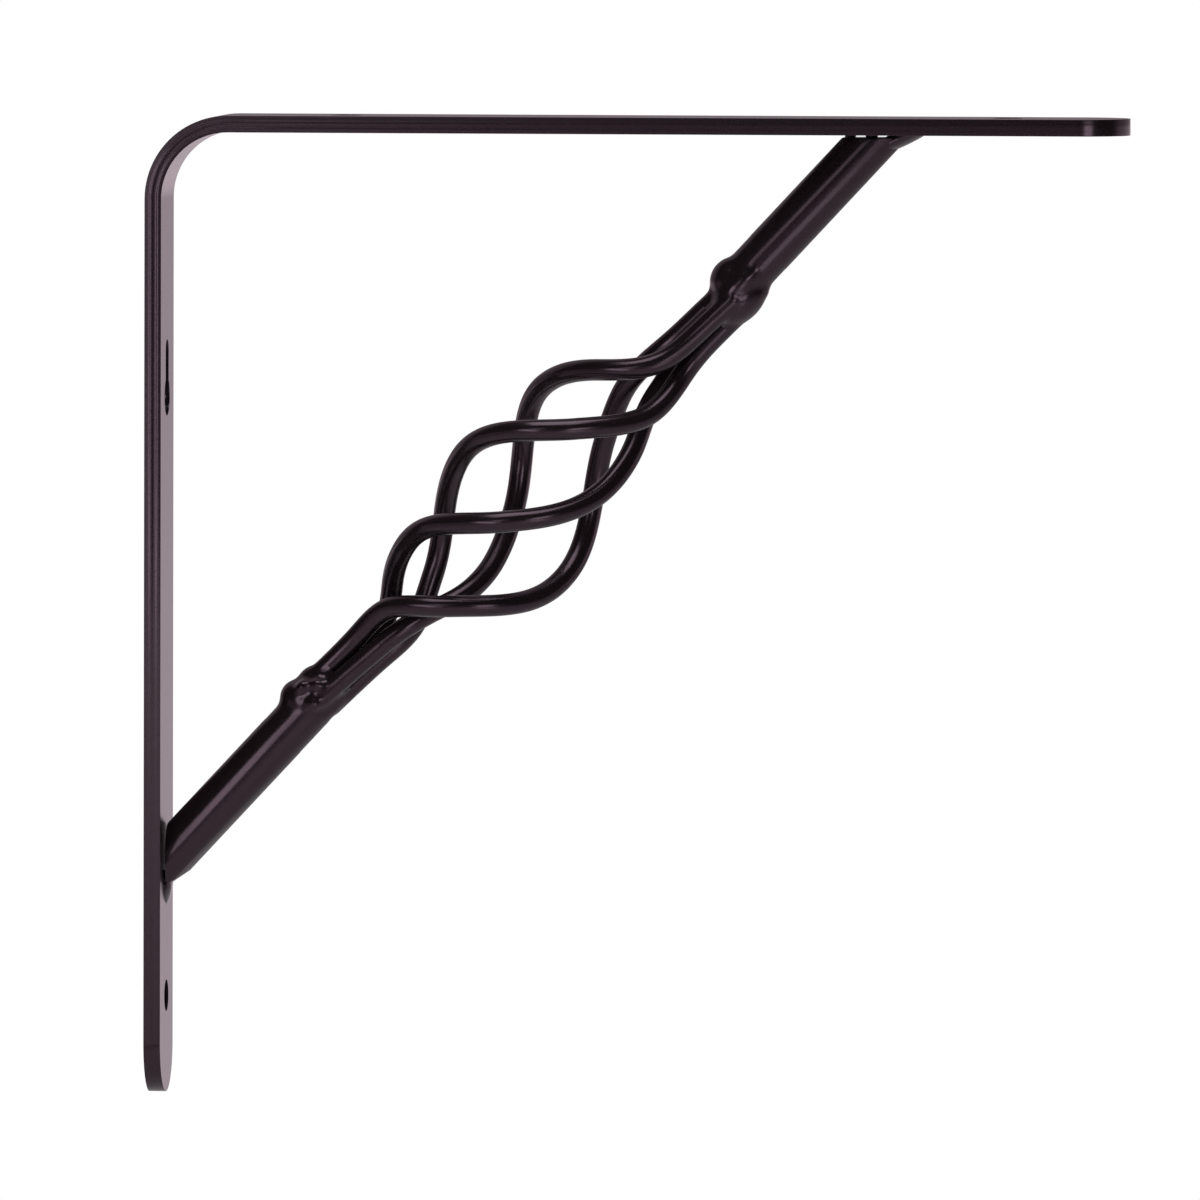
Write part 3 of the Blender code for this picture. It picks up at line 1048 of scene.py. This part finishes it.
@dataclass
class Studio:
    """The pale floor, the soft light and the camera."""

    target: Vector = field(default_factory=lambda: Vector((92.0, 0, 1.85)) * MM)
    azimuth: float = math.radians(6.96)
    elevation: float = math.radians(2.05)
    roll: float = math.radians(0.1)
    distance: float = 10.0
    farthest: float = 50
    shown_width: float = 243.4 * MM
    floor_centre: float = 0.1
    floor_size: float = 4
    floor_height: float = -0.30
    floor_roughness: float = 0.8
    floor_lift: float = 0.6

    def build(self) -> None:
        """Set up the whole studio."""
        self.place_camera()
        self.lay_floor()
        self.light()

    def place_camera(self) -> None:
        """Put the camera at the photograph's viewing angle, far off and with a long lens."""
        deselect()
        bpy.ops.object.camera_add()
        camera = bpy.context.object
        back = Vector((
            math.sin(self.azimuth) * math.cos(self.elevation),
            -math.cos(self.azimuth) * math.cos(self.elevation),
            math.sin(self.elevation),
        ))
        camera.location = self.target + back * self.distance
        turn = (-back).to_track_quat("-Z", "Y").to_matrix() @ Matrix.Rotation(self.roll, 3, "Z")
        camera.rotation_euler = turn.to_euler()
        camera.data.lens = camera.data.sensor_width * self.distance / self.shown_width
        camera.data.clip_end = self.farthest
        bpy.context.scene.camera = camera

    def lay_floor(self) -> None:
        """Lay a plain pale floor well under the bracket."""
        deselect()
        bpy.ops.mesh.primitive_plane_add(
            size=self.floor_size, location=(self.floor_centre, 0, self.floor_height)
        )
        floor = bpy.context.object
        floor.name = "floor"
        floor.data.materials.append(self.mix_floor_paint())

    def mix_floor_paint(self) -> bpy.types.Material:
        """Make the floor's matt white paint, which gives the eye an even pale ground with no gloss.

        The camera sees it lighter than the bracket does, as a studio's overlit floor.

        Returns:
            The paint.
        """
        paint = bpy.data.materials.new("matt white floor paint")
        paint.use_nodes = True
        tree = paint.node_tree
        shader = tree.nodes["Principled BSDF"]
        shader.inputs["Base Color"].default_value = srgb("#f4f4f4")
        shader.inputs["Roughness"].default_value = self.floor_roughness
        shader.inputs["Emission Color"].default_value = srgb("#ffffff")
        seen = add_node(tree, "ShaderNodeLightPath").outputs["Is Camera Ray"]
        lift = add_node(
            tree, "ShaderNodeMath", {1: self.floor_lift}, {0: seen}, operation="MULTIPLY"
        )
        tree.links.new(lift.outputs["Value"], shader.inputs["Emission Strength"])
        return paint

    def light(self) -> None:
        """Light the bracket with the room and the softboxes."""
        bpy.context.scene.view_settings.view_transform = "Standard"
        Room().build()
        for box in SOFTBOXES:
            box.hang(self.target)


@dataclass(frozen=True)
class Softbox:
    """A rectangular area light that faces the bracket.

    Its place and sizes are in millimetres, its radiance is the brightness that reflections show, and
    its roll is in degrees. One that is only soft lights the bracket but isn't seen in reflections.
    """

    name: str
    centre: tuple[float, float, float]
    width: float
    height: float
    radiance: float
    roll: float = 0.0
    only_soft: bool = False

    def hang(self, target: Vector) -> None:
        """Hang the softbox in its place and point it.

        Args:
            target: the point that the softbox faces.
        """
        deselect()
        bpy.ops.object.light_add(type="AREA", location=Vector(self.centre) * MM)
        lamp = bpy.context.object
        lamp.name = self.name
        lamp.visible_camera = False
        lamp.visible_glossy = not self.only_soft
        turn = (target - lamp.location).to_track_quat("-Z", "Y").to_matrix()
        lamp.rotation_euler = (turn @ Matrix.Rotation(math.radians(self.roll), 3, "Z")).to_euler()
        lamp.data.shape = "RECTANGLE"
        lamp.data.size = self.width * MM
        lamp.data.size_y = self.height * MM
        lamp.data.energy = self.radiance * math.pi * self.width * self.height * MM * MM


SOFTBOXES = (
    Softbox("window_light", (-364, -1000, 77), 525, 200, 3.6, -43.1),
    Softbox("door_light", (-190, -1000, 322), 240, 230, 1.7, -43.1),
    Softbox("camera_light", (610, -1000, 40), 340, 290, 3.4),
    Softbox("low_light", (338, -500, -180), 240, 150, 1.35, -43.1),
    Softbox("top_light", (90, -230, 1000), 700, 760, 3.2),
    Softbox("floor_wash", (90, 0, 1600), 2600, 2600, 0.45, 0.0, True),
)


def build_bars(coat: bpy.types.Material, feet: Feet) -> list[bpy.types.Object]:
    """Build the two round bars.

    Args:
        coat: their material.
        feet: where they meet the strap.

    Returns:
        The lower bar and the upper bar.
    """
    out_of_wall, down = Vector((1, 0, 0)), Vector((0, 0, -1))
    wall_cut = Vector((feet.wall_face + WALL_GAP, 0, 0))
    shelf_cut = Vector((0, 0, feet.shelf_under - SHELF_GAP))
    chamfer = feet.lower_corner + Vector((1.3, 0, 2.9)) * MM
    lower = Bar(
        "lower_bar", coat, BRACE.lower, BRACE.lower_bar_offset, -BAR_DRAWN, 0.0, -1,
        ((wall_cut, out_of_wall), (chamfer, above(math.radians(33)))),
    )
    upper = Bar(
        "upper_bar", coat, BRACE.upper, BRACE.upper_bar_offset, 0.0, BAR_DRAWN, 1,
        ((shelf_cut, down),),
    )
    return [lower.build(), upper.build()]


def build_knuckles(coat: bpy.types.Material) -> list[bpy.types.Object]:
    """Build the two knuckles of weld metal.

    Args:
        coat: their material.

    Returns:
        The lower knuckle and the upper knuckle.
    """
    lower = Knuckle(
        "lower_knuckle", coat, BRACE.lower, -1, BRACE.lower_bar_offset,
        (
            Bead(0.7, 0, -1.2, (5.7, 5.0, 4.6)),
            Bead(3.4, 0, 3.2, (2.6, 3.0, 3.5)),
            Bead(-2.8, 0, 2.5, (2.4, 3.0, 5.0)),
            Bead(-0.8, 4.6, 0.7, (1.5, 1.5, 1.5)),
            Bead(3.4, 3.6, 1.2, (1.3, 1.7, 1.8)),
            Bead(1.5, 4.4, 3.8, (1.3, 1.3, 1.3)),
        ),
    )
    upper = Knuckle(
        "upper_knuckle", coat, BRACE.upper, 1, BRACE.upper_bar_offset,
        (
            Bead(2.1, 0, -0.1, (5.6, 5.0, 5.4)),
            Bead(-2.7, 0, -1.2, (2.0, 4.2, 5.6)),
            Bead(-1.0, 0, -2.0, (4.2, 5.3, 6.5)),
            Bead(1.2, 0, 0.5, (3.6, 5.9, 8.5)),
        ),
    )
    return [lower.build(), upper.build()]


def build_foot_welds(coat: bpy.types.Material, feet: Feet) -> list[bpy.types.Object]:
    """Build the fillet welds between the bars and the strap.

    Args:
        coat: their material.
        feet: where the bars meet the strap.

    Returns:
        The lower weld and the upper weld.
    """
    toe = feet.lower_corner + Vector((-0.3, 0, 1.2)) * MM
    fillet = feet.upper_corner + Vector((-1.1, 0, -0.2)) * MM
    outer_tack = feet.head + Vector((-5.7, 0, -0.6)) * MM
    inner_tack = feet.head + Vector((-1.35, 0, -0.3)) * MM
    lower = FootWeld(
        "lower_foot_weld", coat, (FilletBead(toe, 75, (1.3, 4.3, 4.4)),),
        Vector((feet.wall_face, 0, 0)), Vector((1, 0, 0)),
    )
    upper = FootWeld(
        "upper_foot_weld", coat,
        (
            FilletBead(fillet, 26.5, (1.8, 4.3, 8.6)),
            FilletBead(outer_tack, 0, (1.0, 2.6, 1.2)),
            FilletBead(inner_tack, 0, (0.8, 2.6, 1.3)),
        ),
        Vector((0, 0, feet.shelf_under)), Vector((0, 0, -1)),
    )
    return [lower.build(), upper.build()]


def main() -> None:
    """Build the bracket's pieces in order, report each one and set up the studio."""
    logging.basicConfig(level=logging.INFO, format="%(message)s")
    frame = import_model()
    LOG.info("frame with %d nodes", len(frame["nodes"]))
    plain = PowderCoat("powder-coated steel").build()
    rolled = PowderCoat("powder-coated rolled flat steel", ridged=True).build()
    feet = Feet.find()
    pieces = [Strap(rolled).build(), *build_bars(plain, feet)]
    pieces += [BasketWire(index, plain).build() for index in range(WIRE_COUNT)]
    pieces += build_knuckles(plain) + build_foot_welds(plain, feet)
    for piece in pieces:
        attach(piece, BODY)
        LOG.info("%s: %d faces", piece.name, len(piece.data.polygons))
    Studio().build()


if __name__ == "__main__":
    main()
